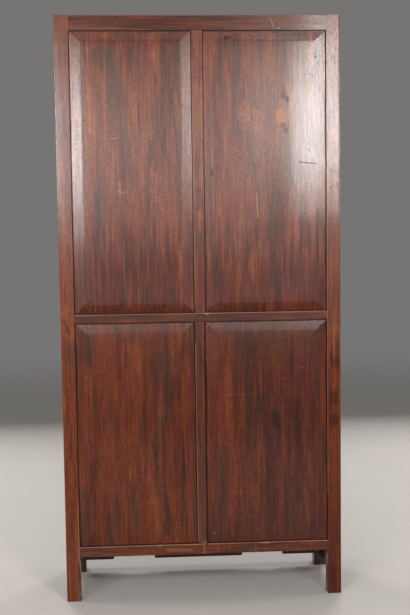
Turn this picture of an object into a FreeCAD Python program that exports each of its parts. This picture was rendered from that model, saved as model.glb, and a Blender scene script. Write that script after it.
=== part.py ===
import FreeCAD, Part
import math
import os

# A tall bookcase of frame-and-panel work. It stands on z = 0 and its origin is under its middle.
# The open front faces -Y and the panelled back faces +Y. All lengths are in millimetres.

# Overall size
width = 937.0
depth = 340.0
height = 1950.0

# Corner posts, which run from the floor to the top
post = 46.0
post_round = 4.5
arris = 0.8

# Rails, all of one thickness and flush with the outer faces of the posts
rail_thick = 32.0
rail_round = 1.5
bottom_rail_level = 151.5
bottom_rail_high = 35.0
mid_rail_level = 944.0
mid_rail_high = 29.0
top_rail_high = 49.5

# Centre muntins of the back
upper_muntin_wide = 35.5
upper_muntin_offset = 4.5
lower_muntin_wide = 30.5
lower_muntin_offset = 7.2
muntin_tenon_long = 12.0

# The lower muntin ends in a lap that is let into the face of the bottom rail
lap_wide = 16.0
lap_thick = 10.0
lap_overhang = 2.5

# Mortise and tenon joints
tenon_thick = 12.0
tenon_shoulder = 6.0
tenon_wall = 2.0
fit_gap = 0.1
glue_gap = 1.0

# Raised and fielded panels, measured inwards from the outer face of the frame
panel_field_drop = 2.0
panel_bevel_drop = 5.0
panel_tongue_drop = 10.0
panel_tongue_thick = 6.0
panel_quirk = 3.5
panel_bevel_side = 30.5
panel_bevel_end = 27.0
panel_bevel_ease_share = 0.23
panel_bevel_ease_steps = 5
panel_groove_deep = 10.0
panel_play = 1.0

# Top, middle and bottom boards, measured down from the top of their rails
board_drop = 1.5
board_thick = 14.0
board_tongue_drop = 6.0
board_tongue_thick = 6.0
board_groove_deep = 8.0
board_play = 1.0
board_gap = 0.5

# Cross braces under those boards
brace_wide = 34.0
brace_offset = 150.0
brace_lift = 1.0
brace_tenon_long = 12.0
brace_shoulder = 3.0
dovetail_high = 4.0
dovetail_root = 20.0
dovetail_flare = 2.5

# Loose shelves between those boards
shelves = {"upper": 2, "lower": 1}
shelf_thick = 18.0
shelf_rail_high = 28.0
shelf_rail_thick = 24.0
shelf_tongue_thick = 6.0
shelf_groove_deep = 8.0
cleat_high = 20.0
cleat_tenon_long = 14.0
cleat_shoulder = 4.0

# Aprons under the bottom rails
apron_thick = 18.0
apron_set_back = 4.0
apron_low = 37.0
apron_recess_level = 90.0
apron_tongue_thick = 6.0
apron_tongue_long = 8.0
apron_tongue_inset = 10.0
apron_centre_wide = 327.0
apron_centre_offset = 7.0
apron_recess_wide = 150.0
side_apron_foot = 60.0
apron_inner_round = 18.0
apron_outer_round = 6.0
apron_arris = 1.5

# How far a cut that leaves through a face runs past it, and how near a point has to be to lie on a plane
overrun = 5.0
touch = 0.01

# Planes and bands of the frame
left, right = -width / 2, width / 2
front, back = -depth / 2, depth / 2
outer_x = {"left": left, "right": right}
outer_y = {"front": front, "back": back}
post_x = {"left": (left, left + post), "right": (right - post, right)}
post_y = {"front": (front, front + post), "back": (back - post, back)}
rail_x = {"left": (left, left + rail_thick), "right": (right - rail_thick, right)}
rail_y = {"front": (front, front + rail_thick), "back": (back - rail_thick, back)}
rail_z = {
    "bottom": (bottom_rail_level, bottom_rail_level + bottom_rail_high),
    "mid": (mid_rail_level, mid_rail_level + mid_rail_high),
    "top": (height - top_rail_high, height),
}
bay_z = {"upper": (rail_z["mid"][1], rail_z["top"][0]), "lower": (rail_z["bottom"][1], rail_z["mid"][0])}
bay_rails = {"upper": ("mid", "top"), "lower": ("bottom", "mid")}
muntin_x = {
    "upper": (upper_muntin_offset - upper_muntin_wide / 2, upper_muntin_offset + upper_muntin_wide / 2),
    "lower": (lower_muntin_offset - lower_muntin_wide / 2, lower_muntin_offset + lower_muntin_wide / 2),
}
between_x = (left + post, right - post)
between_y = (front + post, back - post)
inside_x = (left + rail_thick, right - rail_thick)
inside_y = (front + rail_thick, back - rail_thick)

# Sizes that follow from others
tenon_long = post - (rail_thick + tenon_thick) / 2 - tenon_wall
panel_inner_drop = panel_tongue_drop + panel_tongue_thick

pieces = {}
cuts = {}


def wider(pair, by):
    """A pair of limits moved apart by one length at both ends."""
    return (pair[0] - by, pair[1] + by)


def centred(pair, size):
    """A pair of limits of a given size about the middle of another pair."""
    middle = (pair[0] + pair[1]) / 2
    return (middle - size / 2, middle + size / 2)


def block(x, y, z):
    """A solid between three pairs of limits."""
    corner = FreeCAD.Vector(x[0], y[0], z[0])
    return Part.makeBox(x[1] - x[0], y[1] - y[0], z[1] - z[0], corner)


def near(value, plane):
    """Whether a value lies on a plane."""
    return abs(value - plane) < touch


def eased(solid, radius, chosen):
    """A solid with the edges rounded whose middles are chosen."""
    return solid.makeFillet(radius, [edge for edge in solid.Edges if chosen(edge.CenterOfMass)])


def cut_from(names, tool):
    """Note a tool that cuts the named pieces where it reaches them."""
    for name in names:
        cuts.setdefault(name, []).append(tool)


def socket(x, y, z, along):
    """The mortise for a tenon between these limits, with room for glue at its ends."""
    gaps = {axis: glue_gap if axis == along else fit_gap for axis in "xyz"}
    return block(wider(x, gaps["x"]), wider(y, gaps["y"]), wider(z, gaps["z"]))


def post_names(ends=("front", "back"), sides=("left", "right")):
    """The names of the posts at some ends and sides."""
    return [f"post_{end}_{side}" for end in ends for side in sides]


def make_posts():
    """Four square posts, with the outer arris worn round and its neighbours just eased."""
    for side, x in post_x.items():
        for end, y in post_y.items():
            out_x, out_y = outer_x[side], outer_y[end]
            in_x, in_y = sum(x) - out_x, sum(y) - out_y
            post_blank = block(x, y, (0, height))
            post_blank = eased(
                post_blank,
                arris,
                lambda c: near(c.x, out_x) and near(c.y, in_y) or near(c.x, in_x) and near(c.y, out_y),
            )
            pieces[f"post_{end}_{side}"] = eased(
                post_blank, post_round, lambda c: near(c.x, out_x) and near(c.y, out_y)
            )


def cross_rail(y, z, outer, tenon_z):
    """A rail from the left post to the right one, and the mortises for its tenons."""
    body = eased(block(between_x, y, z), rail_round, lambda c: near(c.y, outer) and near(c.x, 0))
    limits = (wider(between_x, tenon_long), centred(y, tenon_thick), tenon_z)
    return body.fuse(block(*limits)), socket(*limits, "x")


def side_rail(x, z, outer, tenon_z):
    """A rail from the front post to the back one, and the mortises for its tenons."""
    body = eased(block(x, between_y, z), rail_round, lambda c: near(c.x, outer) and near(c.y, 0))
    limits = (centred(x, tenon_thick), wider(between_y, tenon_long), tenon_z)
    return body.fuse(block(*limits)), socket(*limits, "y")


def make_rails():
    """Rails on all four sides at three levels."""
    for level, z in rail_z.items():
        tenon_z = wider(z, -tenon_shoulder)
        for end, y in rail_y.items():
            rail, mortise = cross_rail(y, z, outer_y[end], tenon_z)
            pieces[f"{level}_rail_{end}"] = rail
            cut_from(post_names(ends=[end]), mortise)
        for side, x in rail_x.items():
            rail, mortise = side_rail(x, z, outer_x[side], tenon_z)
            pieces[f"{level}_rail_{side}"] = rail
            cut_from(post_names(sides=[side]), mortise)


def make_muntins():
    """The two lengths of the back's centre muntin."""
    for bay, x in muntin_x.items():
        z = bay_z[bay]
        y = rail_y["back"]
        body = block(x, y, z)
        body = eased(body, arris, lambda c: near(c.y, back) and near(c.z, sum(z) / 2))
        limits = (wider(x, -tenon_shoulder), centred(y, tenon_thick), wider(z, muntin_tenon_long))
        pieces[f"muntin_{bay}"] = body.fuse(block(*limits))
        cut_from([f"{level}_rail_back" for level in bay_rails[bay]], socket(*limits, "z"))
    lap_start = muntin_x["lower"][0] - lap_overhang
    lap_x = (lap_start, lap_start + lap_wide)
    lap = block(lap_x, (back - lap_thick, back), rail_z["bottom"])
    housing_y = (back - lap_thick - fit_gap, back + overrun)
    housing = block(wider(lap_x, fit_gap), housing_y, wider(rail_z["bottom"], overrun))
    pieces["muntin_lower"] = pieces["muntin_lower"].fuse(lap)
    cut_from(["bottom_rail_back"], housing)


def rectangle(x, y, z):
    """A closed wire round a rectangle that stands square to Y."""
    corners = [(x[0], z[0]), (x[1], z[0]), (x[1], z[1]), (x[0], z[1]), (x[0], z[0])]
    return Part.makePolygon([FreeCAD.Vector(across, y, up) for across, up in corners])


def bevel_shares():
    """Places across a bevel and their drops, both as shares: straight at first, then eased into the field."""
    ease = panel_bevel_ease_share
    steps = [1 - ease + 2 * ease * k / panel_bevel_ease_steps for k in range(panel_bevel_ease_steps + 1)]
    return [(0, 1)] + [(across, (1 + ease - across) ** 2 / (4 * ease)) for across in steps]


def fielded_panel(x, z):
    """A panel for the opening between x and z, and its groove. The frame's outer face is at y = 0."""
    tongue_long = panel_groove_deep - panel_play
    tongue_y = (-panel_inner_drop, -panel_tongue_drop)
    tongue_z = (z[0] - panel_groove_deep, z[1] + tongue_long)
    tongue = block(wider(x, tongue_long), tongue_y, tongue_z)
    foot_x, foot_z = wider(x, -panel_quirk), wider(z, -panel_quirk)
    foot = block(foot_x, (-panel_tongue_drop, -panel_bevel_drop), foot_z)
    rings = [
        rectangle(
            wider(foot_x, -across * panel_bevel_side),
            -panel_field_drop - (panel_bevel_drop - panel_field_drop) * drop,
            wider(foot_z, -across * panel_bevel_end),
        )
        for across, drop in bevel_shares()
    ]
    bevel = Part.makeLoft(rings, True, True)
    groove = block(wider(x, panel_groove_deep), wider(tongue_y, fit_gap), wider(z, panel_groove_deep))
    return tongue.fuse([foot, bevel]).removeSplitter(), groove


def placed(solid, turn, x, y):
    """A copy turned about the upright axis by some degrees and then moved."""
    turned = solid.copy()
    turned.rotate(FreeCAD.Vector(0, 0, 0), FreeCAD.Vector(0, 0, 1), turn)
    turned.translate(FreeCAD.Vector(x, y, 0))
    return turned


def make_panels():
    """Four panels in the back and two in each side, all loose in their grooves."""
    for bay, z in bay_z.items():
        halves = {
            "left": (between_x[0], muntin_x[bay][0]),
            "right": (muntin_x[bay][1], between_x[1]),
        }
        for half, x in halves.items():
            panel, groove = fielded_panel(x, z)
            pieces[f"back_panel_{bay}_{half}"] = placed(panel, 0, 0, back)
            holders = [f"{level}_rail_back" for level in bay_rails[bay]]
            holders += post_names(ends=["back"], sides=[half]) + [f"muntin_{bay}"]
            cut_from(holders, placed(groove, 0, 0, back))
        panel, groove = fielded_panel(between_y, z)
        for side, turn in {"left": 90, "right": -90}.items():
            pieces[f"side_panel_{bay}_{side}"] = placed(panel, turn, outer_x[side], 0)
            holders = [f"{level}_rail_{side}" for level in bay_rails[bay]] + post_names(sides=[side])
            cut_from(holders, placed(groove, turn, outer_x[side], 0))


def post_notches():
    """Blocks a little larger than the posts, which notch the corners of the boards."""
    return [
        block(wider(x, board_gap), wider(y, board_gap), (0, height))
        for x in post_x.values()
        for y in post_y.values()
    ]


def board_under(level):
    """The height of the underside of a level's board."""
    return rail_z[level][1] - board_drop - board_thick


def make_boards():
    """Top, middle and bottom boards, tongued into their rails and notched round the posts."""
    for level, (low, high) in rail_z.items():
        body_z = (board_under(level), high - board_drop)
        tongue_z = (high - board_tongue_drop - board_tongue_thick, high - board_tongue_drop)
        body = block(wider(inside_x, -board_gap), wider(inside_y, -board_gap), body_z)
        tongue_long = board_groove_deep - board_play
        tongue = block(wider(inside_x, tongue_long), wider(inside_y, tongue_long), tongue_z)
        pieces[f"{level}_board"] = body.fuse(tongue).cut(post_notches())
        groove = block(
            wider(inside_x, board_groove_deep), wider(inside_y, board_groove_deep), wider(tongue_z, fit_gap)
        )
        cut_from([f"{level}_rail_{side}" for side in ("front", "back", "left", "right")], groove)


def dovetail(x_middle, y, z, gap):
    """A ridge along Y that is wider at its top, grown by a gap on its flanks and its top."""
    root = dovetail_root / 2 + gap
    crest = root + dovetail_flare
    outline = [(-root, z), (root, z), (crest, z + dovetail_high + gap), (-crest, z + dovetail_high + gap)]
    points = [FreeCAD.Vector(x_middle + across, y[0], up) for across, up in outline + outline[:1]]
    return Part.Face(Part.makePolygon(points)).extrude(FreeCAD.Vector(0, y[1] - y[0], 0))


def make_braces():
    """Two braces under each board, tenoned into the front and back rails."""
    for level, (low, high) in rail_z.items():
        z = (low + brace_lift, board_under(level))
        for side, x_middle in {"left": -brace_offset, "right": brace_offset}.items():
            x = centred((x_middle, x_middle), brace_wide)
            body = block(x, inside_y, z)
            tenon_x = wider(x, -brace_shoulder)
            limits = (tenon_x, wider(inside_y, brace_tenon_long), wider(z, -brace_shoulder))
            ridge = dovetail(x_middle, wider(inside_y, -board_gap), z[1], 0)
            pieces[f"{level}_brace_{side}"] = body.fuse([block(*limits), ridge])
            cut_from([f"{level}_rail_front", f"{level}_rail_back"], socket(*limits, "y"))
            cut_from([f"{level}_board"], dovetail(x_middle, wider(inside_y, overrun), z[1], fit_gap))


def shelf_tops():
    """The heights of the shelves' upper faces, from the lowest up, so that each bay is evenly divided."""
    tops = []
    for bay in ("lower", "upper"):
        low, high = bay_z[bay]
        count = shelves[bay]
        clear = (high - low - count * shelf_rail_high) / (count + 1)
        tops += [low + (clear + shelf_rail_high) * (k + 1) for k in range(count)]
    return tops


def make_shelf(name, top):
    """A shelf with its front rail, and two cleats between the posts that carry it."""
    shelf_z = (top - shelf_thick, top)
    rail_band = (front, front + shelf_rail_thick)
    in_from_side = panel_inner_drop + board_gap
    body = block(wider((left, right), -in_from_side), (rail_band[1], back - in_from_side), shelf_z)
    tongue_z = centred(shelf_z, shelf_tongue_thick)
    tongue_y = (rail_band[1] - shelf_groove_deep + board_play, rail_y["front"][1])
    tongue = block(wider(between_x, -board_gap), tongue_y, tongue_z)
    muntin_notches = [
        block(wider(x, board_gap), wider(rail_y["back"], board_gap), bay_z[bay])
        for bay, x in muntin_x.items()
    ]
    pieces[f"{name}_board"] = body.fuse(tongue).cut(post_notches() + muntin_notches)

    rail_z_band = (top - shelf_rail_high, top)
    rail, mortise = cross_rail(rail_band, rail_z_band, front, wider(rail_z_band, -tenon_shoulder))
    groove_y = (rail_band[1] - shelf_groove_deep, rail_band[1] + overrun)
    pieces[f"{name}_rail"] = rail
    cut_from([f"{name}_rail"], block(between_x, groove_y, wider(tongue_z, fit_gap)))
    cut_from(post_names(ends=["front"]), mortise)

    cleat_z = (shelf_z[0] - cleat_high, shelf_z[0])
    cleat_x = {
        "left": (left + in_from_side, between_x[0]),
        "right": (between_x[1], right - in_from_side),
    }
    for side, x in cleat_x.items():
        limits = (centred(x, tenon_thick), wider(between_y, cleat_tenon_long), wider(cleat_z, -cleat_shoulder))
        pieces[f"{name}_cleat_{side}"] = block(x, between_y, cleat_z).fuse(block(*limits))
        cut_from(post_names(sides=[side]), socket(*limits, "y"))


def rounded_face(corners):
    """A face in XZ whose corners are (across, up, radius), with an arc at each corner that has a radius."""
    points = [FreeCAD.Vector(across, 0, up) for across, up, radius in corners]
    edges = []
    ends = []
    for k, (across, up, radius) in enumerate(corners):
        here = points[k]
        to_last = (points[k - 1] - here).normalize()
        to_next = (points[(k + 1) % len(points)] - here).normalize()
        half_angle = to_last.getAngle(to_next) / 2
        reach = radius / math.tan(half_angle)
        start, end = here + to_last * reach, here + to_next * reach
        if radius:
            inwards = (to_last + to_next).normalize()
            middle = here + inwards * (radius / math.sin(half_angle) - radius)
            edges.append(Part.Arc(start, middle, end).toShape())
        ends.append((start, end))
    for k, (start, end) in enumerate(ends):
        edges.append(Part.LineSegment(end, ends[(k + 1) % len(ends)][0]).toShape())
    return Part.Face(Part.Wire(Part.__sortEdges__(edges)))


def apron_outline(across, recesses):
    """An apron's face: straight above, and raised along each recess below."""
    top = rail_z["bottom"][0]
    corners = [(across[1], apron_low, 0), (across[1], top, 0), (across[0], top, 0), (across[0], apron_low, 0)]
    for low, high in recesses:
        corners += [
            (low, apron_low, apron_outer_round),
            (low, apron_recess_level, apron_inner_round),
            (high, apron_recess_level, apron_inner_round),
            (high, apron_low, apron_outer_round),
        ]
    return rounded_face(corners)


def apron(across, recesses):
    """An apron whose outer face is at y = 0, and the grooves for its tongues."""
    top = rail_z["bottom"][0]
    body = apron_outline(across, recesses).extrude(FreeCAD.Vector(0, apron_thick, 0))
    body = eased(
        body, apron_arris, lambda c: near(c.y, 0) and across[0] < c.x < across[1] and not near(c.z, top)
    )
    tongue_y = centred((0, apron_thick), apron_tongue_thick)
    upper = (wider(across, -apron_tongue_inset), tongue_y, (top, top + apron_tongue_long))
    ends_z = (apron_low + apron_tongue_inset, top - apron_tongue_inset)
    ends = (wider(across, apron_tongue_long), tongue_y, ends_z)
    solid = body.fuse([block(*upper), block(*ends)])
    return solid, socket(*upper, "z"), socket(*ends, "x")


def make_aprons():
    """The front apron with its deep middle, and a plainer one on each side."""
    middle = centred((apron_centre_offset, apron_centre_offset), apron_centre_wide)
    recesses = [(middle[0] - apron_recess_wide, middle[0]), (middle[1], middle[1] + apron_recess_wide)]
    solid, upper_groove, end_grooves = apron(between_x, recesses)
    set_back = front + apron_set_back
    pieces["apron_front"] = placed(solid, 0, 0, set_back)
    cut_from(["bottom_rail_front"], placed(upper_groove, 0, 0, set_back))
    cut_from(post_names(ends=["front"]), placed(end_grooves, 0, 0, set_back))
    solid, upper_groove, end_grooves = apron(between_y, [wider(between_y, -side_apron_foot)])
    for side, turn in {"left": -90, "right": 90}.items():
        inwards = apron_set_back if side == "left" else -apron_set_back
        place = (turn, outer_x[side] + inwards, 0)
        pieces[f"apron_{side}"] = placed(solid, *place)
        cut_from([f"bottom_rail_{side}"], placed(upper_groove, *place))
        cut_from(post_names(sides=[side]), placed(end_grooves, *place))


def make_all():
    """Every piece, with the cuts that its neighbours ask of it."""
    make_posts()
    make_rails()
    make_muntins()
    make_panels()
    make_boards()
    make_braces()
    for k, top in enumerate(shelf_tops()):
        make_shelf(f"shelf_{k + 1}", top)
    make_aprons()
    for name, tools in cuts.items():
        reaching = [tool for tool in tools if tool.BoundBox.intersect(pieces[name].BoundBox)]
        pieces[name] = pieces[name].cut(reaching)


make_all()
os.makedirs("parts", exist_ok=True)
for name, shape in pieces.items():
    shape.exportStep(f"parts/{name}.step")
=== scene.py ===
import bpy
import math
from mathutils import Matrix, Vector


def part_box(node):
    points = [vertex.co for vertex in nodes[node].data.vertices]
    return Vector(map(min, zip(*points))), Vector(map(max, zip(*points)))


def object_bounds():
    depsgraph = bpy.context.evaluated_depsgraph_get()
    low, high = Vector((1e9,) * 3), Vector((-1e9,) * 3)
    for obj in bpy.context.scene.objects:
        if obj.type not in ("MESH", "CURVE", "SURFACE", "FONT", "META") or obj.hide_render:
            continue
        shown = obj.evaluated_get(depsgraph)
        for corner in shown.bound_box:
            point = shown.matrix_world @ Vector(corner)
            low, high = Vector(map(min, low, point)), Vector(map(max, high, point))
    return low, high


# An old bookcase of dark polished hardwood, seen from behind. All lengths are in metres.
# Left and right are as seen from the open front, so the left of the photograph is the right of the bookcase.
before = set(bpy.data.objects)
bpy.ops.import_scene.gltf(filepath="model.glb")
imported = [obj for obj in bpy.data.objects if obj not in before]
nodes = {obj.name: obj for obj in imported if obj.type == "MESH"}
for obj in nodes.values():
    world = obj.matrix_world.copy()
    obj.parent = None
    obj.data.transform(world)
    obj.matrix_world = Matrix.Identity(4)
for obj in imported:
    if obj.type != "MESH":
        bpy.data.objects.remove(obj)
cad_low, cad_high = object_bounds()

# The camera that took the photograph. Its picture and its focal length are in pixels, its sensor is in
# millimetres, and its turns are in radians. It stands beside the middle, behind the back and above the
# floor, and sees so far.
photo_high_px = 615
focal_px = 989.17
sensor_mm = 36
camera_beside = 0.1717
camera_behind = 3.2871
camera_level = 1.2384
camera_turn = 0.05576
camera_tilt = 0.07488
camera_roll = -0.01331
camera_sees = 48.0

# The floor, and where it fades into the even ground behind it
floor_half = 12.0
floor_fade_near = 2.6
floor_fade_far = 7.0
floor_colour = (0.44, 0.425, 0.40, 1)
floor_shade = 0.93
floor_figures = {
    "clouds": {"size": 0.35, "detail": 5.0, "share": 0.08},
    "speckle": {"size": 0.012, "detail": 2.0, "share": 0.06},
}
floor_polish = {"Roughness": 0.75, "Specular IOR Level": 0.25}
ground_colour = (1.0, 0.985, 0.96, 1)
ground_level = 0.18

# Soft lights: place, width, height, turn from facing +Y in degrees, and glow. Each is made of layers of
# different heights, so that it fades up and down.
light_colour = (1.0, 0.97, 0.95)
layer_shares = (1.4, 1.0, 0.6)
layer_step = 0.02
soft_lights = {
    "back_left": {"place": (-1.165, 3.07, 1.90), "wide": 0.85, "high": 0.78, "turn": 180, "glow": 29.0},
    "back_fringe": {"place": (-0.59, 3.2, 2.0), "wide": 0.20, "high": 0.62, "turn": 180, "glow": 3.2},
    "back_middle": {"place": (0.07, 3.07, 1.75), "wide": 1.3, "high": 0.9, "turn": 180, "glow": 2.5},
    "back_right": {"place": (1.68, 3.07, 1.81), "wide": 2.0, "high": 0.85, "turn": 180, "glow": 20.0},
    "back_edge": {"place": (-1.47, 3.2, 2.22), "wide": 0.28, "high": 0.6, "turn": 180, "glow": 9.0},
    "back_corner": {"place": (-1.22, 3.13, 2.48), "wide": 0.76, "high": 0.42, "turn": 180, "glow": 11.0},
    "back_above": {"place": (-0.25, 3.07, 3.1), "wide": 2.4, "high": 0.45, "turn": 180, "glow": 1.3},
    "back_above_left": {"place": (-0.95, 3.13, 3.0), "wide": 0.9, "high": 0.45, "turn": 180, "glow": 3.0},
    "back_low": {"place": (-0.1, 3.07, 0.72), "wide": 2.4, "high": 0.32, "turn": 180, "glow": 0.6},
    "front_left": {"place": (-1.7, -3.07, 1.9), "wide": 1.6, "high": 0.8, "turn": 0, "glow": 22.0},
    "front_right": {"place": (1.7, -3.07, 1.9), "wide": 1.6, "high": 0.8, "turn": 0, "glow": 22.0},
    "side_left": {"place": (-3.4, -0.3, 1.8), "wide": 0.7, "high": 0.9, "turn": -90, "glow": 20.0},
    "side_right": {"place": (3.4, -0.3, 1.8), "wide": 0.7, "high": 0.9, "turn": 90, "glow": 20.0},
}

# Figures in the wood: the width and the length of their cells, how much fine detail they have, and how rough
# that detail is where it isn't plain
plain_rough = 0.55
wood_figures = {
    "Bands": {"wide": 0.034, "long": 0.36, "detail": 1.0},
    "Streaks": {"wide": 0.010, "long": 0.20, "detail": 2.0},
    "Fibres": {"wide": 0.0034, "long": 0.090, "detail": 4.0, "rough": 0.72},
    "Pores": {"wide": 0.0017, "long": 0.011, "detail": 1.0},
    "Patches": {"wide": 0.030, "long": 0.26, "detail": 2.0},
    "Roses": {"wide": 0.020, "long": 0.13, "detail": 2.0},
    "Flecks": {"wide": 0.012, "long": 0.0042, "detail": 1.0},
    "Waves": {"wide": 0.15, "long": 0.30, "detail": 1.0},
}

# The middle of every figure, where a pore starts and where it is at its full, and how far apart in the wood
# the pieces were cut
figure_middle = 0.5
pore_limits = (0.58, 0.70)
seed_step = (1.37, 2.11, 0.73)

# The grain wanders from side to side, and these figures don't follow it
wander_figure = {"wide": 0.16, "long": 0.45, "detail": 1.0}
wander_reach = 0.010
straight_figures = ("Flecks", "Waves")

# Relief of the pores and fibres, and of the broad waves
fine_depth = 0.000012
wave_depth = 0.00012

# How much each figure shifts the tone, and the tone of the middle shade
tone_weights = {"Bands": 0.60, "Streaks": 0.50, "Fibres": 1.00, "Flecks": 0.45}
middle_tone = 0.5

# Where the wood starts to turn warm or rosy and where it has turned, and how much of it can turn rosy
streak_warmth = 0.35
warm_limits = (0.48, 0.77)
rosy_limits = (0.51, 0.65)
rosy_share = 0.85

# Colours of the wood from its darkest streak to its palest, as linear shares of red, green and blue
warm_shades = {
    0.0: (0.022, 0.0032, 0.001, 1),
    0.3: (0.056, 0.0084, 0.0013, 1),
    0.5: (0.094, 0.0164, 0.0024, 1),
    0.7: (0.135, 0.030, 0.0065, 1),
    1.0: (0.240, 0.074, 0.024, 1),
}
cool_shades = {
    0.0: (0.016, 0.0050, 0.0020, 1),
    0.3: (0.036, 0.0096, 0.0034, 1),
    0.5: (0.057, 0.0155, 0.0056, 1),
    0.7: (0.088, 0.027, 0.0115, 1),
    1.0: (0.150, 0.058, 0.034, 1),
}
rosy_shades = {
    0.0: (0.018, 0.0030, 0.0020, 1),
    0.3: (0.050, 0.0064, 0.0038, 1),
    0.5: (0.082, 0.0118, 0.0072, 1),
    0.7: (0.135, 0.0215, 0.0140, 1),
    1.0: (0.240, 0.0620, 0.0460, 1),
}
pore_share = 0.45
pore_colour = (0.010, 0.003, 0.0015, 1)
# Dirt is dark, and so is the painted shade in gaps and along the frame's edges
dirt_and_shade_colour = (0.004, 0.002, 0.0015, 1)
# Worn wood is pale, and so are the painted glints on scratches and painted highlights on arrises
worn_and_glint_colour = (0.29, 0.145, 0.088, 1)

# The polish over the whole surface: dull wax below and a thin clear skin above
polish = {"Specular IOR Level": 0.26, "Coat Roughness": 0.10}

# The wax: how rough it is at its smoothest, and what makes it rougher
wax_rough = 0.26
rough_weights = {"Fibres": 0.12, "Pores": 0.22, "Worn_and_glint": 0.15}

# The clear skin: its mean weight, how the figures vary it, and what wears it off
coat_mean = 0.52
coat_weights = {"Fibres": 0.8, "Flecks": 0.5}
coat_losses = {"Pores": 0.25, "Dirt_and_shade": 0.5, "Worn_and_glint": 0.3}

# How far the painted shade reaches from the frame over the edge of a panel, and how much it covers
edge_shade_reach = 0.0055
edge_shade_share = 0.8

# How far from the frame the soft edge of a panel's field starts and ends, and how high it rises
crown_start, crown_end = 0.027, 0.066
crown_high = 0.0011

# Where marks and the painted shade along the frame start to thin out and where they end, as shares of
# their reach, and which figures fray their edges
mark_limits = (0.3, 1.0)
edge_shade_limits = (0.1, 1.0)
fray_weights = {"Streaks": 1.6, "Fibres": 1.2}

# The least square of a mark's length, for a mark that is only a point
least_square = 1e-9

# What marks do to the wood: they shift its tone, make it warm or rosy, show worn wood and painted glints,
# show dirt and painted shade, dull the wax, or bare the wood of its clear skin
effects = ("tone", "warmth", "rosy", "worn_and_glint", "dirt_and_shade", "dull", "bare")

# Kinds of marks, with their effects. Each reaches so far to either side of its line.
mark_kinds = {
    "warm_patch": {"reach": 0.038, "warmth": 0.16, "tone": 0.09},
    "warm_streak": {"reach": 0.016, "warmth": 0.14, "tone": 0.08},
    "cool_patch": {"reach": 0.042, "warmth": -0.14, "tone": -0.05},
    "cool_streak": {"reach": 0.020, "warmth": -0.16, "tone": -0.05},
    # Partly the wood's crimson hue, partly the painted purple tint of a fading reflection
    "crimson_and_sheen_patch": {"reach": 0.060, "rosy": 0.09},
    "dark_patch": {"reach": 0.034, "tone": -0.10},
    "dark_streak": {"reach": 0.009, "tone": -0.23},
    "dark_blot": {"reach": 0.020, "tone": -0.24},
    "dark_spot": {"reach": 0.009, "warmth": 0.2, "tone": -0.34, "bare": 0.40},
    "dark_knot": {"reach": 0.020, "warmth": -0.4, "rosy": -0.3, "tone": -0.22},
    "knot_shade": {"reach": 0.012, "warmth": 0.2, "tone": -0.24, "bare": 0.30},
    "orange_knot": {"reach": 0.023, "warmth": 0.5, "rosy": -0.3, "tone": 0.46, "dull": 0.10},
    "dark_line": {"reach": 0.0028, "dirt_and_shade": 0.85},
    # A painted shadow in the gap between a panel's edge and the frame beside it
    "gap_shadow_line": {"reach": 0.0034, "dirt_and_shade": 0.9},
    "seam": {"reach": 0.0016, "dirt_and_shade": 0.7},
    # A scratch, pale with wear and with a painted glint
    "glinting_scratch": {"reach": 0.0021, "worn_and_glint": 0.66},
    "faint_scratch": {"reach": 0.0015, "worn_and_glint": 0.32},
    "scuff": {"reach": 0.0075, "worn_and_glint": 0.22},
    "orange_scuff": {"reach": 0.0070, "warmth": 0.3, "rosy": -0.2, "tone": 0.26, "worn_and_glint": 0.05},
    "dust_line": {"reach": 0.0022, "worn_and_glint": 0.12},
    "pale_speck": {"reach": 0.0032, "worn_and_glint": 0.40},
    "nick": {"reach": 0.0026, "worn_and_glint": 0.42},
    "chip": {"reach": 0.0056, "worn_and_glint": 0.85},
    "lap": {"reach": 0.0110, "warmth": 0.12, "tone": 0.36},
    # Pale arris marks: partly wear, partly painted highlights where the rounded arrises catch the light
    "worn_arris_highlight": {"reach": 0.0038, "worn_and_glint": 0.75},
    "thin_arris_highlight": {"reach": 0.0032, "worn_and_glint": 0.56},
    "rubbed_arris_highlight": {"reach": 0.0026, "worn_and_glint": 0.35},
    "pale_arris_highlight": {"reach": 0.0034, "worn_and_glint": 0.40},
    # These only darken a piece towards one end
    "darker_foot": {"reach": 0.32, "tone": -0.18, "warmth": 0.02, "rosy": 0.04},
    "darker_length": {"reach": 0.30, "tone": -0.19},
    "amber_patch": {"reach": 0.30, "rosy": -0.06},
    "darker_head": {"reach": 0.13, "tone": -0.13},
    "bare_length": {"reach": 0.25, "bare": 0.36, "dull": -0.05},
    "bright_edge": {"reach": 0.030, "bare": -0.24},
    # Painted shade on the downward-facing bevel at an upper panel's foot
    "shaded_foot_bevel": {"reach": 0.032, "tone": -0.13, "warmth": 0.40, "rosy": -0.15, "bare": 0.40},
}

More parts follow.
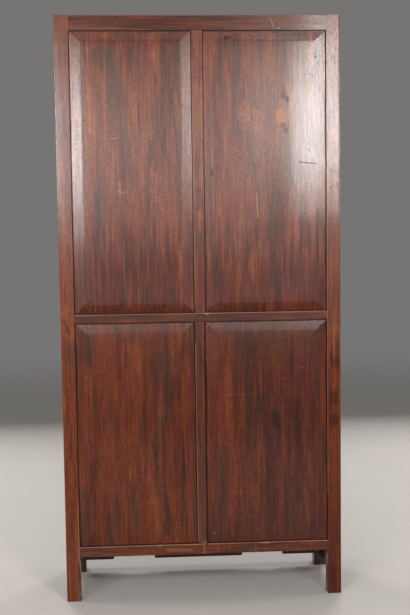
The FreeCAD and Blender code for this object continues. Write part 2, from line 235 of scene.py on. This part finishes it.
# Marks that the photograph shows on the pieces of the back: kind, then across and up at one end and at the
# other, as shares of the piece's box
back_marks = {
    "back_panel_upper_right": [
        # The wood's crimson hue with the painted tint of a fading reflection
        ("crimson_and_sheen_patch", 0.82, 0.28, 0.80, 0.10),
        ("crimson_and_sheen_patch", 0.66, 0.25, 0.66, 0.10),
        ("dark_patch", 0.82, 0.90, 0.50, 0.90),
        ("dark_patch", 0.15, 0.52, 0.15, 0.46),
        ("dark_patch", 0.55, 0.28, 0.52, 0.06),
        ("warm_streak", 0.80, 0.20, 0.80, 0.12),
        ("warm_streak", 0.13, 0.22, 0.13, 0.14),
        ("warm_patch", 0.45, 0.77, 0.46, 0.55),
        ("warm_streak", 0.36, 0.96, 0.36, 0.90),
        ("warm_streak", 0.82, 0.79, 0.82, 0.65),
        ("warm_streak", 0.43, 0.53, 0.42, 0.47),
        ("warm_streak", 0.32, 0.50, 0.32, 0.41),
        ("cool_patch", 0.19, 0.90, 0.20, 0.58),
        ("cool_streak", 0.60, 0.89, 0.60, 0.65),
        ("cool_patch", 0.69, 0.92, 0.67, 0.86),
        ("dark_streak", 0.35, 0.61, 0.35, 0.53),
        ("cool_streak", 0.78, 0.45, 0.77, 0.20),
        ("dark_patch", 0.66, 0.24, 0.66, 0.16),
        ("warm_streak", 0.27, 0.25, 0.27, 0.16),
        ("warm_patch", 0.50, 0.44, 0.51, 0.31),
        ("orange_scuff", 0.61, 0.440, 0.57, 0.436),
        ("orange_scuff", 0.60, 0.470, 0.60, 0.425),
        # A scratch with a painted glint
        ("glinting_scratch", 0.66, 0.624, 0.61, 0.624),
        ("faint_scratch", 0.62, 0.618, 0.61, 0.459),
        ("faint_scratch", 0.75, 0.411, 0.74, 0.335),
        ("amber_patch", 0.10, 0.75, 0.90, 0.75),
        ("darker_foot", 0.10, 0.00, 0.90, 0.00),
        ("darker_head", 0.10, 1.00, 0.90, 1.00),
        # Painted shade on the bevel at the panel's foot
        ("shaded_foot_bevel", 0.08, 0.012, 0.92, 0.012),
        ("bright_edge", 0.04, 0.93, 0.04, 0.40),
    ],
    "back_panel_upper_left": [
        # The wood's crimson hue with the painted tint of a fading reflection
        ("crimson_and_sheen_patch", 0.38, 0.44, 0.32, 0.14),
        ("crimson_and_sheen_patch", 0.20, 0.42, 0.18, 0.16),
        ("cool_streak", 0.88, 0.90, 0.89, 0.67),
        ("warm_streak", 0.85, 0.79, 0.86, 0.66),
        ("warm_streak", 0.58, 0.94, 0.58, 0.77),
        ("cool_patch", 0.72, 0.94, 0.72, 0.78),
        ("dark_patch", 0.74, 0.75, 0.74, 0.61),
        ("orange_knot", 0.37, 0.706, 0.37, 0.684),
        ("warm_streak", 0.36, 0.745, 0.37, 0.660),
        ("knot_shade", 0.35, 0.775, 0.35, 0.762),
        ("knot_shade", 0.36, 0.668, 0.36, 0.662),
        ("dark_spot", 0.32, 0.758, 0.32, 0.751),
        ("dark_spot", 0.34, 0.651, 0.34, 0.644),
        ("dark_spot", 0.91, 0.511, 0.91, 0.494),
        ("dark_spot", 0.79, 0.966, 0.76, 0.966),
        # A painted shadow along the gap beside the post
        ("gap_shadow_line", 0.032, 0.97, 0.032, 0.10),
        ("dark_line", 0.23, 0.536, 0.10, 0.530),
        # A scratch with a painted glint
        ("glinting_scratch", 0.57, 0.430, 0.56, 0.345),
        ("amber_patch", 0.10, 0.75, 0.90, 0.75),
        ("darker_foot", 0.10, 0.00, 0.90, 0.00),
        ("darker_head", 0.10, 1.00, 0.90, 1.00),
        # Painted shade on the bevel at the panel's foot
        ("shaded_foot_bevel", 0.08, 0.012, 0.92, 0.012),
        ("warm_streak", 0.96, 0.85, 0.96, 0.05),
        ("warm_patch", 0.65, 0.72, 0.45, 0.62),
        ("dark_patch", 0.42, 0.30, 0.44, 0.06),
        ("dark_patch", 0.20, 0.90, 0.20, 0.25),
        ("dark_patch", 0.11, 0.90, 0.11, 0.25),
        ("warm_patch", 0.73, 0.60, 0.73, 0.34),
        ("dark_patch", 0.52, 0.31, 0.52, 0.27),
        ("cool_patch", 0.37, 0.40, 0.36, 0.33),
        ("warm_streak", 0.62, 0.21, 0.62, 0.15),
        ("warm_streak", 0.83, 0.25, 0.83, 0.18),
        ("warm_streak", 0.65, 0.13, 0.65, 0.07),
        ("cool_streak", 0.45, 0.20, 0.45, 0.10),
        ("cool_patch", 0.27, 0.19, 0.27, 0.11),
    ],
    "back_panel_lower_right": [
        ("dark_streak", 0.88, 0.93, 0.87, 0.81),
        ("warm_patch", 0.76, 0.92, 0.77, 0.44),
        ("warm_streak", 0.67, 0.92, 0.66, 0.67),
        ("dark_streak", 0.58, 0.92, 0.57, 0.80),
        ("warm_streak", 0.49, 0.92, 0.49, 0.79),
        ("cool_patch", 0.23, 0.83, 0.23, 0.65),
        ("dark_patch", 0.22, 0.74, 0.22, 0.69),
        ("warm_streak", 0.07, 0.77, 0.08, 0.59),
        ("cool_streak", 0.31, 0.57, 0.31, 0.42),
        ("warm_streak", 0.21, 0.53, 0.21, 0.43),
        ("warm_patch", 0.37, 0.20, 0.38, 0.05),
        ("cool_streak", 0.26, 0.22, 0.26, 0.07),
        ("cool_patch", 0.91, 0.22, 0.92, 0.05),
        ("warm_streak", 0.93, 0.80, 0.94, 0.30),
        ("warm_patch", 0.55, 0.88, 0.56, 0.50),
        ("dark_patch", 0.07, 0.88, 0.07, 0.30),
        ("amber_patch", 0.10, 0.05, 0.90, 0.05),
        ("dust_line", 0.397, 0.478, 0.361, 0.346),
    ],
    "back_panel_lower_left": [
        ("warm_patch", 0.81, 0.91, 0.80, 0.49),
        ("warm_streak", 0.80, 0.86, 0.80, 0.51),
        ("cool_patch", 0.67, 0.91, 0.67, 0.71),
        ("dark_streak", 0.30, 0.91, 0.29, 0.76),
        ("dark_patch", 0.27, 0.62, 0.26, 0.35),
        ("seam", 0.64, 0.93, 0.64, 0.77),
        ("dark_knot", 0.43, 0.575, 0.42, 0.530),
        ("cool_patch", 0.49, 0.64, 0.48, 0.42),
        ("warm_streak", 0.46, 0.66, 0.46, 0.61),
        ("warm_streak", 0.17, 0.40, 0.16, 0.25),
        ("warm_patch", 0.74, 0.43, 0.73, 0.14),
        ("cool_patch", 0.32, 0.27, 0.31, 0.10),
        ("warm_streak", 0.96, 0.92, 0.96, 0.40),
        ("warm_streak", 0.05, 0.92, 0.05, 0.50),
        ("dark_patch", 0.52, 0.36, 0.50, 0.12),
        # The wood's crimson hue with the painted tint of a soft reflection
        ("crimson_and_sheen_patch", 0.50, 0.72, 0.46, 0.40),
        ("crimson_and_sheen_patch", 0.25, 0.80, 0.25, 0.35),
        ("amber_patch", 0.10, 0.05, 0.90, 0.05),
        ("pale_speck", 0.766, 0.044, 0.766, 0.046),
        ("pale_speck", 0.918, 0.057, 0.918, 0.059),
        ("pale_speck", 0.959, 0.878, 0.959, 0.880),
        ("pale_speck", 0.219, 0.778, 0.219, 0.780),
        ("dust_line", 0.847, 0.668, 0.628, 0.669),
    ],
    "top_rail_back": [
        ("nick", 0.232, 0.785, 0.218, 0.199),
        ("nick", 0.206, 0.134, 0.196, 0.134),
        ("bare_length", 1.0, 0.5, 0.45, 0.5),
        ("dark_patch", 0.76, 0.5, 0.38, 0.5),
        ("warm_patch", 0.12, 0.5, 0.0, 0.5),
    ],
    "mid_rail_back": [
        ("chip", 0.485, 1.0, 0.476, 1.0),
        ("seam", 0.491, 0.944, 0.487, 0.018),
    ],
    "bottom_rail_back": [
        ("chip", 0.674, 1.0, 0.667, 1.0),
        ("chip", 0.276, 1.0, 0.256, 1.0),
        ("scuff", 0.640, 0.50, 0.550, 0.42),
        ("faint_scratch", 0.450, 0.85, 0.448, 0.15),
        ("faint_scratch", 0.404, 0.80, 0.405, 0.30),
        ("faint_scratch", 0.304, 0.90, 0.303, 0.10),
        ("faint_scratch", 0.185, 0.70, 0.186, 0.15),
        ("faint_scratch", 0.089, 0.85, 0.088, 0.30),
    ],
    "post_back_left": [
        ("warm_patch", 0.27, 0.465, 0.25, 0.059),
        ("darker_length", 0.50, 0.34, 0.50, 0.00),
        ("dark_blot", 0.70, 0.418, 0.40, 0.406),
        ("dark_blot", 0.50, 0.354, 0.60, 0.342),
        ("dark_blot", 0.40, 0.312, 0.60, 0.302),
        # Wear and a painted highlight on the inner arris
        ("pale_arris_highlight", 1.0, 0.18, 1.0, 0.94),
        ("bare_length", 0.5, 0.50, 0.5, 0.0),
    ],
    "post_back_right": [
        ("warm_patch", 0.61, 0.63, 0.55, 0.47),
        ("dark_streak", 0.75, 0.49, 0.47, 0.47),
        ("warm_streak", 0.80, 0.91, 0.80, 0.85),
        ("warm_streak", 0.50, 0.70, 0.50, 0.64),
        ("dark_streak", 0.40, 0.845, 0.35, 0.80),
        # Wear and a painted highlight on the arris
        ("pale_arris_highlight", 0.0, 0.18, 0.07, 0.07),
        ("bare_length", 0.5, 0.50, 0.5, 0.0),
    ],
    "muntin_lower": [
        # Wear and a painted highlight on the arris
        ("pale_arris_highlight", 1.0, 0.89, 1.0, 0.06),
        ("lap", 0.34, 0.004, 0.34, 0.052),
        ("seam", 0.12, 0.0, 0.12, 0.040),
        ("seam", 0.88, 0.0, 0.88, 0.040),
    ],
    "muntin_upper": [
        ("darker_head", 0.5, 1.0, 0.5, 0.9),
        ("darker_length", 0.5, 0.20, 0.5, 0.0),
        ("dark_blot", 0.5, 0.44, 0.5, 0.38),
        ("warm_streak", 0.5, 0.36, 0.5, 0.30),
        ("dark_patch", 0.5, 0.12, 0.5, 0.0),
        ("bare_length", 0.5, 0.02, 0.5, 0.0),
        # Wear and a painted highlight on the arris
        ("pale_arris_highlight", 1.0, 0.89, 1.0, 0.04),
    ],
}

# The boards, cleats and braces inside have less polish
plain_shifts = {"dull": 0.12, "bare": 0.25}

# How some of the pieces differ from the rest of the wood
wood_shifts = {
    "post_back_right": {"tone": 0.08, "warmth": 0.02, "dull": 0.03},
    "post_back_left": {"tone": 0.04, "warmth": 0.10, "dull": 0.05, "bare": 0.06},
    "top_rail_back": {"tone": -0.10, "bare": 0.05},
    "mid_rail_back": {"tone": -0.11, "warmth": -0.14, "bare": 0.30},
    "bottom_rail_back": {"tone": -0.07, "bare": 0.10},
    "muntin_upper": {"tone": 0.20, "dull": 0.10},
    "back_panel_upper_right": {"tone": 0.07, "warmth": 0.02},
    "back_panel_upper_left": {"tone": 0.08},
    "muntin_lower": {"tone": -0.05, "warmth": -0.04},
    "back_panel_lower_left": {"tone": -0.17, "warmth": 0.03, "bare": 0.08},
    "back_panel_lower_right": {"tone": -0.06, "warmth": 0.02, "bare": 0.28},
}


class Web:
    """A node tree with short ways to add nodes. Each value is a socket, a number or a tuple."""

    def __init__(self, tree):
        self.tree = tree

    def add(self, kind, values=None, **settings):
        """A node with its settings, and its inputs linked or set."""
        node = self.tree.nodes.new(kind)
        for name, setting in settings.items():
            setattr(node, name, setting)
        self.fill(node, values or {})
        return node

    def fill(self, node, values):
        """A node's inputs, linked or set."""
        for key, value in values.items():
            if isinstance(value, bpy.types.NodeSocket):
                self.tree.links.new(value, node.inputs[key])
            else:
                node.inputs[key].default_value = value

    def math(self, operation, *values, clamp=False):
        """The result of a sum on one to three numbers."""
        node = self.add("ShaderNodeMath", dict(enumerate(values)), operation=operation, use_clamp=clamp)
        return node.outputs[0]

    def vector(self, operation, *values):
        """The result of a sum on vectors."""
        node = self.add("ShaderNodeVectorMath", dict(enumerate(values)), operation=operation)
        return node.outputs["Value" if operation in ("LENGTH", "DOT_PRODUCT") else "Vector"]

    def spread(self, value, low, high, to_low=0.0, to_high=1.0):
        """A value carried smoothly from one pair of limits to another."""
        ends = {"Value": value, "From Min": low, "From Max": high, "To Min": to_low, "To Max": to_high}
        return self.add("ShaderNodeMapRange", ends, interpolation_type="SMOOTHSTEP").outputs["Result"]

    def noise(self, place, wide, long, detail, rough=plain_rough):
        """Noise whose cells are so wide and so long, with the length along Z."""
        scaled = self.vector("MULTIPLY", place, (1 / wide, 1 / wide, 1 / long))
        values = {"Vector": scaled, "Scale": 1.0, "Detail": detail, "Roughness": rough}
        return self.add("ShaderNodeTexNoise", values).outputs

    def mix(self, share, first, second, blend="MIX"):
        """Two colours mixed."""
        node = self.add("ShaderNodeMix", {0: share, 6: first, 7: second}, data_type="RGBA", blend_type=blend)
        return node.outputs[2]

    def ramp(self, value, shades):
        """A colour ramp with its shades at their shares."""
        node = self.add("ShaderNodeValToRGB", {"Fac": value})
        elements = node.color_ramp.elements
        while len(elements) < len(shades):
            elements.new(middle_tone)
        for element, (share, colour) in zip(elements, shades.items()):
            element.position = share
            element.color = colour
        return node.outputs["Color"]

    def use(self, tree, values):
        """The outputs of a node group with its inputs linked or set."""
        node = self.tree.nodes.new("ShaderNodeGroup")
        node.node_tree = tree
        self.fill(node, values)
        return node.outputs


def new_group(name, inputs, outputs):
    """A node group's web, inputs and outputs. Each name is given with the kind of its socket."""
    kinds = {"number": "NodeSocketFloat", "vector": "NodeSocketVector", "colour": "NodeSocketColor"}
    tree = bpy.data.node_groups.new(name, "ShaderNodeTree")
    for socket, kind in inputs.items():
        tree.interface.new_socket(socket, in_out="INPUT", socket_type=kinds[kind])
    for socket, kind in outputs.items():
        tree.interface.new_socket(socket, in_out="OUTPUT", socket_type=kinds[kind])
    web = Web(tree)
    return web, web.add("NodeGroupInput").outputs, web.add("NodeGroupOutput").inputs


def make_grain_group():
    """The figures in the wood, with the grain along Z."""
    web, given, out = new_group("grain", {"Place": "vector"}, dict.fromkeys(wood_figures, "number"))
    wander = web.noise(given["Place"], **wander_figure)["Color"]
    wander = web.vector("SUBTRACT", wander, (figure_middle, figure_middle, figure_middle))
    wander = web.vector("MULTIPLY", wander, (wander_reach, wander_reach, 0))
    wandered = web.vector("ADD", given["Place"], wander)
    for name, cells in wood_figures.items():
        place = given["Place"] if name in straight_figures else wandered
        figure = web.noise(place, **cells)["Fac"]
        if name == "Pores":
            figure = web.spread(figure, *pore_limits)
        web.tree.links.new(figure, out[name])
    return web.tree


def make_stroke_group():
    """How fully a place lies within a ragged stroke, from its start along its run."""
    inputs = {"Place": "vector", "Start": "vector", "Run": "vector", "Reach": "number", "Ragged": "number"}
    web, given, out = new_group("stroke", inputs, {"Share": "number"})
    offset = web.vector("SUBTRACT", given["Place"], given["Start"])
    run_square = web.math("MAXIMUM", web.vector("DOT_PRODUCT", given["Run"], given["Run"]), least_square)
    along = web.math("DIVIDE", web.vector("DOT_PRODUCT", offset, given["Run"]), run_square, clamp=True)
    nearest = web.add("ShaderNodeVectorMath", {0: given["Run"], "Scale": along}, operation="SCALE")
    distance = web.vector("LENGTH", web.vector("SUBTRACT", offset, nearest.outputs[0]))
    measure = web.math("ADD", web.math("DIVIDE", distance, given["Reach"]), given["Ragged"])
    web.tree.links.new(web.spread(measure, *mark_limits, 1.0, 0.0), out["Share"])
    return web.tree


def make_polish_group():
    """Colour, polish and relief of the wood, from its figures and its marks."""
    names = [*wood_figures, *(effect.capitalize() for effect in effects), "Crown"]
    outputs = {"Color": "colour", "Roughness": "number", "Coat": "number", "Normal": "vector"}
    web, given, out = new_group("polish", dict.fromkeys(names, "number"), outputs)

    tone = given["Tone"]
    for figure, weight in tone_weights.items():
        tone = web.math("MULTIPLY_ADD", given[figure], weight, tone)
    tone = web.math("SUBTRACT", tone, figure_middle * sum(tone_weights.values()) - middle_tone)
    warm = web.math("MULTIPLY_ADD", given["Streaks"], streak_warmth, given["Patches"])
    warm = web.spread(web.math("ADD", warm, given["Warmth"]), *warm_limits)
    shade = web.mix(warm, web.ramp(tone, cool_shades), web.ramp(tone, warm_shades))
    rosy = web.spread(web.math("ADD", given["Roses"], given["Rosy"]), *rosy_limits, 0.0, rosy_share)
    shade = web.mix(rosy, shade, web.ramp(tone, rosy_shades))
    shade = web.mix(web.math("MULTIPLY", given["Pores"], pore_share), shade, pore_colour)
    # Worn wood pales the wood here, and so do painted glints and painted arris highlights
    shade = web.mix(given["Worn_and_glint"], shade, worn_and_glint_colour)
    # Dirt darkens the wood here, and so does the painted shade in gaps and along the frame's edges
    shade = web.mix(given["Dirt_and_shade"], shade, dirt_and_shade_colour)
    web.tree.links.new(shade, out["Color"])

    rough = wax_rough
    for cause, weight in rough_weights.items():
        rough = web.math("MULTIPLY_ADD", given[cause], weight, rough)
    web.tree.links.new(web.math("ADD", rough, given["Dull"]), out["Roughness"])

    coat = web.math("SUBTRACT", coat_mean, given["Bare"])
    for figure, weight in coat_weights.items():
        coat = web.math("MULTIPLY_ADD", web.math("SUBTRACT", given[figure], figure_middle), weight, coat)
    for cause, loss in coat_losses.items():
        coat = web.math("MULTIPLY_ADD", given[cause], -loss, coat)
    web.tree.links.new(web.math("MAXIMUM", coat, 0.0), out["Coat"])

    fine = web.math("SUBTRACT", given["Fibres"], given["Pores"])
    below = {}
    for height, depth in ((fine, fine_depth), (given["Waves"], wave_depth), (given["Crown"], crown_high)):
        relief = {"Height": height, "Strength": 1.0, "Distance": depth, **below}
        below = {"Normal": web.add("ShaderNodeBump", relief).outputs[0]}
    web.tree.links.new(below["Normal"], out["Normal"])
    return web.tree


def make_edge_group():
    """How fully a place lies in the painted shade along an opening's edges, and how far the field has risen
    there.
    """
    inputs = {"Place": "vector", "Low": "vector", "High": "vector", "Ragged": "number"}
    web, given, out = new_group("edge", inputs, {"Dirt_and_shade": "number", "Crown": "number"})
    from_low = web.vector("SUBTRACT", given["Place"], given["Low"])
    from_high = web.vector("SUBTRACT", given["High"], given["Place"])
    nearest = web.add("ShaderNodeSeparateXYZ", {0: web.vector("MINIMUM", from_low, from_high)}).outputs
    distance = web.math("MINIMUM", web.math("MINIMUM", nearest[0], nearest[1]), nearest[2])
    measure = web.math("ADD", web.math("DIVIDE", distance, edge_shade_reach), given["Ragged"])
    web.tree.links.new(web.spread(measure, *edge_shade_limits, 1.0, 0.0), out["Dirt_and_shade"])
    # The field rises steeply at first, and then less and less.
    past = web.math("SUBTRACT", distance, crown_start)
    rise = web.math("DIVIDE", past, crown_end - crown_start, clamp=True)
    web.tree.links.new(web.math("MULTIPLY", rise, web.math("SUBTRACT", 2.0, rise)), out["Crown"])
    return web.tree


def grain_along(name):
    """The axis that a piece's grain runs along: its longest way, but always up a panel."""
    if "panel" in name:
        return 2
    low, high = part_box(name)
    spans = [high[axis] - low[axis] for axis in range(3)]
    return spans.index(max(spans))


def spot(name, *shares):
    """The place at these shares of a piece's box."""
    low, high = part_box(name)
    return Vector([low[axis] + share * (high[axis] - low[axis]) for axis, share in enumerate(shares)])


def opening(name):
    """The part of a panel that shows between the pieces around it. Its thin way is left open."""
    wall, _, storey, side = name.split("_")
    low, high = Vector(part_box(name)[0]), Vector(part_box(name)[1])
    if wall == "back":
        beside = f"muntin_{storey}"
        left, right = ("post_back_left", beside) if side == "left" else (beside, "post_back_right")
        across, thin, rails = 0, 1, "back"
    else:
        left, right = f"post_front_{side}", f"post_back_{side}"
        across, thin, rails = 1, 0, side
    below, above = ("mid", "top") if storey == "upper" else ("bottom", "mid")
    low[across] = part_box(left)[1][across]
    high[across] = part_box(right)[0][across]
    low[2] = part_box(f"{below}_rail_{rails}")[1][2]
    high[2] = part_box(f"{above}_rail_{rails}")[0][2]
    low[thin] -= high[2]
    high[thin] += high[2]
    return low, high


def arris_marks(name):
    """Pale arris marks: wear from hands and cloths, and painted highlights. Each is kind, start and end."""
    marks = []
    if name.startswith("post_"):
        _, face, side = name.split("_")
        across, deep = float(side == "right"), float(face == "back")
        marks.append(("rubbed_arris_highlight", spot(name, across, deep, 0), spot(name, across, deep, 1)))
    for storey, kind in {"bottom": "worn_arris_highlight", "mid": "thin_arris_highlight", "top": "rubbed_arris_highlight"}.items():
        if name == f"{storey}_rail_back":
            marks.append((kind, spot(name, 0, 1, 1), spot(name, 1, 1, 1)))
        if name == f"{storey}_rail_front":
            marks.append(("rubbed_arris_highlight", spot(name, 0, 0, 1), spot(name, 1, 0, 1)))
    if name.endswith("_rail") and name.startswith("shelf"):
        marks.append(("rubbed_arris_highlight", spot(name, 0, 0, 1), spot(name, 1, 0, 1)))
    return marks


def wood_material(name, index, groups):
    """The material of one piece: its own stretch of the same wood, with its own marks."""
    material = bpy.data.materials.new(name + "_wood")
    material.use_nodes = True
    material.node_tree.nodes.clear()
    web = Web(material.node_tree)
    place = web.add("ShaderNodeTexCoord").outputs["Object"]

    axis = grain_along(name)
    parts = web.add("ShaderNodeSeparateXYZ", {0: place}).outputs
    turned = {way: parts[(axis + 1 + way) % 3] for way in range(3)}
    turned = web.add("ShaderNodeCombineXYZ", turned).outputs[0]
    seed = tuple(step * (index + 1) for step in seed_step)
    grain = web.use(groups["grain"], {"Place": web.vector("ADD", turned, seed)})
    ragged = -figure_middle * sum(fray_weights.values())
    for figure, weight in fray_weights.items():
        ragged = web.math("MULTIPLY_ADD", grain[figure], weight, ragged)

    marks = [
        (kind, spot(name, across, 1, up), spot(name, end_across, 1, end_up))
        for kind, across, up, end_across, end_up in back_marks.get(name, [])
    ]
    plain = name.endswith("_board") or "cleat" in name or "brace" in name
    shifts = dict.fromkeys(effects, 0.0)
    shifts.update(plain_shifts if plain else {})
    shifts.update(wood_shifts.get(name, {}))
    for kind, start, end in marks + arris_marks(name):
        facts = mark_kinds[kind]
        stroke = {"Place": place, "Start": start, "Run": end - start, "Reach": facts["reach"]}
        share = web.use(groups["stroke"], {**stroke, "Ragged": ragged})["Share"]
        for effect in effects:
            if effect in facts:
                shifts[effect] = web.math("MULTIPLY_ADD", share, facts[effect], shifts[effect])
    values = {socket.name: socket for socket in grain}
    if "panel" in name:
        low, high = opening(name)
        edge = web.use(groups["edge"], {"Place": place, "Low": low, "High": high, "Ragged": ragged})
        # Painted shade along the frame's edges, where the panel sinks below the frame
        shifts["dirt_and_shade"] = web.math("MULTIPLY_ADD", edge["Dirt_and_shade"], edge_shade_share, shifts["dirt_and_shade"], clamp=True)
        values["Crown"] = edge["Crown"]
    values.update({effect.capitalize(): shift for effect, shift in shifts.items()})
    wood = web.use(groups["polish"], values)
    surface = {"Base Color": wood["Color"], "Roughness": wood["Roughness"], "Coat Weight": wood["Coat"]}
    shader = web.add("ShaderNodeBsdfPrincipled", {**surface, "Normal": wood["Normal"], **polish})
    web.add("ShaderNodeOutputMaterial", {"Surface": shader.outputs[0]})
    return material


def finish_pieces():
    """Every piece gets its own material."""
    groups = {
        "grain": make_grain_group(),
        "stroke": make_stroke_group(),
        "polish": make_polish_group(),
        "edge": make_edge_group(),
    }
    for index, name in enumerate(sorted(nodes)):
        mesh = nodes[name].data
        mesh.materials.clear()
        mesh.materials.append(wood_material(name, index, groups))


def make_floor():
    """A pale floor that the bookcase stands on, and that fades into the ground far away."""
    ways = ((-1, -1), (1, -1), (1, 1), (-1, 1))
    mesh = bpy.data.meshes.new("floor")
    mesh.from_pydata([(x * floor_half, y * floor_half, cad_low.z) for x, y in ways], [], [(0, 1, 2, 3)])
    floor = bpy.data.objects.new("floor", mesh)
    bpy.context.scene.collection.objects.link(floor)
    material = bpy.data.materials.new("pale_floor")
    material.use_nodes = True
    material.node_tree.nodes.clear()
    web = Web(material.node_tree)
    place = web.add("ShaderNodeTexCoord").outputs["Object"]
    shade = floor_shade
    for cells in floor_figures.values():
        figure = web.noise(place, cells["size"], cells["size"], cells["detail"])["Fac"]
        shade = web.math("MULTIPLY_ADD", figure, cells["share"], shade)
    shade = web.add("ShaderNodeCombineColor", {0: shade, 1: shade, 2: shade}).outputs[0]
    colour = web.mix(1.0, floor_colour, shade, "MULTIPLY")
    surface = web.add("ShaderNodeBsdfPrincipled", {"Base Color": colour, **floor_polish})
    clear = web.add("ShaderNodeBsdfTransparent")
    fade = web.spread(web.vector("LENGTH", place), floor_fade_near, floor_fade_far)
    mixed = web.add("ShaderNodeMixShader", {0: fade, 1: surface.outputs[0], 2: clear.outputs[0]})
    web.add("ShaderNodeOutputMaterial", {"Surface": mixed.outputs[0]})
    mesh.materials.append(material)


def make_ground():
    """An even ground all round."""
    world = bpy.data.worlds.new("ground")
    world.use_nodes = True
    background = world.node_tree.nodes["Background"]
    background.inputs["Color"].default_value = ground_colour
    background.inputs["Strength"].default_value = ground_level
    bpy.context.scene.world = world


def make_lights():
    """Soft lights all round the bookcase."""
    for name, facts in soft_lights.items():
        for layer, share in enumerate(layer_shares):
            lamp = bpy.data.lights.new(f"soft_light_{name}_{layer}", "AREA")
            lamp.shape = "RECTANGLE"
            lamp.size = facts["wide"]
            lamp.size_y = facts["high"] * share
            lamp.color = light_colour
            lamp.energy = facts["glow"] / len(layer_shares) * math.pi * lamp.size * lamp.size_y
            light = bpy.data.objects.new(lamp.name, lamp)
            bpy.context.scene.collection.objects.link(light)
            light.matrix_world = (
                Matrix.Translation(facts["place"])
                @ Matrix.Rotation(math.radians(facts["turn"]), 4, "Z")
                @ Matrix.Rotation(math.pi / 2, 4, "X")
                @ Matrix.Translation((0, 0, layer_step * layer))
            )
            light.visible_camera = False


def make_camera():
    """The photograph's camera, behind the bookcase and a little to one side."""
    data = bpy.data.cameras.new("camera")
    data.sensor_width = sensor_mm
    data.lens = focal_px * sensor_mm / photo_high_px
    data.clip_end = camera_sees
    camera = bpy.data.objects.new("camera", data)
    bpy.context.scene.collection.objects.link(camera)
    camera.matrix_world = (
        Matrix.Translation((camera_beside, cad_high.y + camera_behind, camera_level))
        @ Matrix.Rotation(math.pi - camera_turn, 4, "Z")
        @ Matrix.Rotation(math.pi / 2 - camera_tilt, 4, "X")
        @ Matrix.Rotation(camera_roll, 4, "Z")
    )
    bpy.context.scene.camera = camera


make_camera()
make_floor()
make_ground()
make_lights()
finish_pieces()
bpy.context.scene.view_settings.view_transform = "Standard"
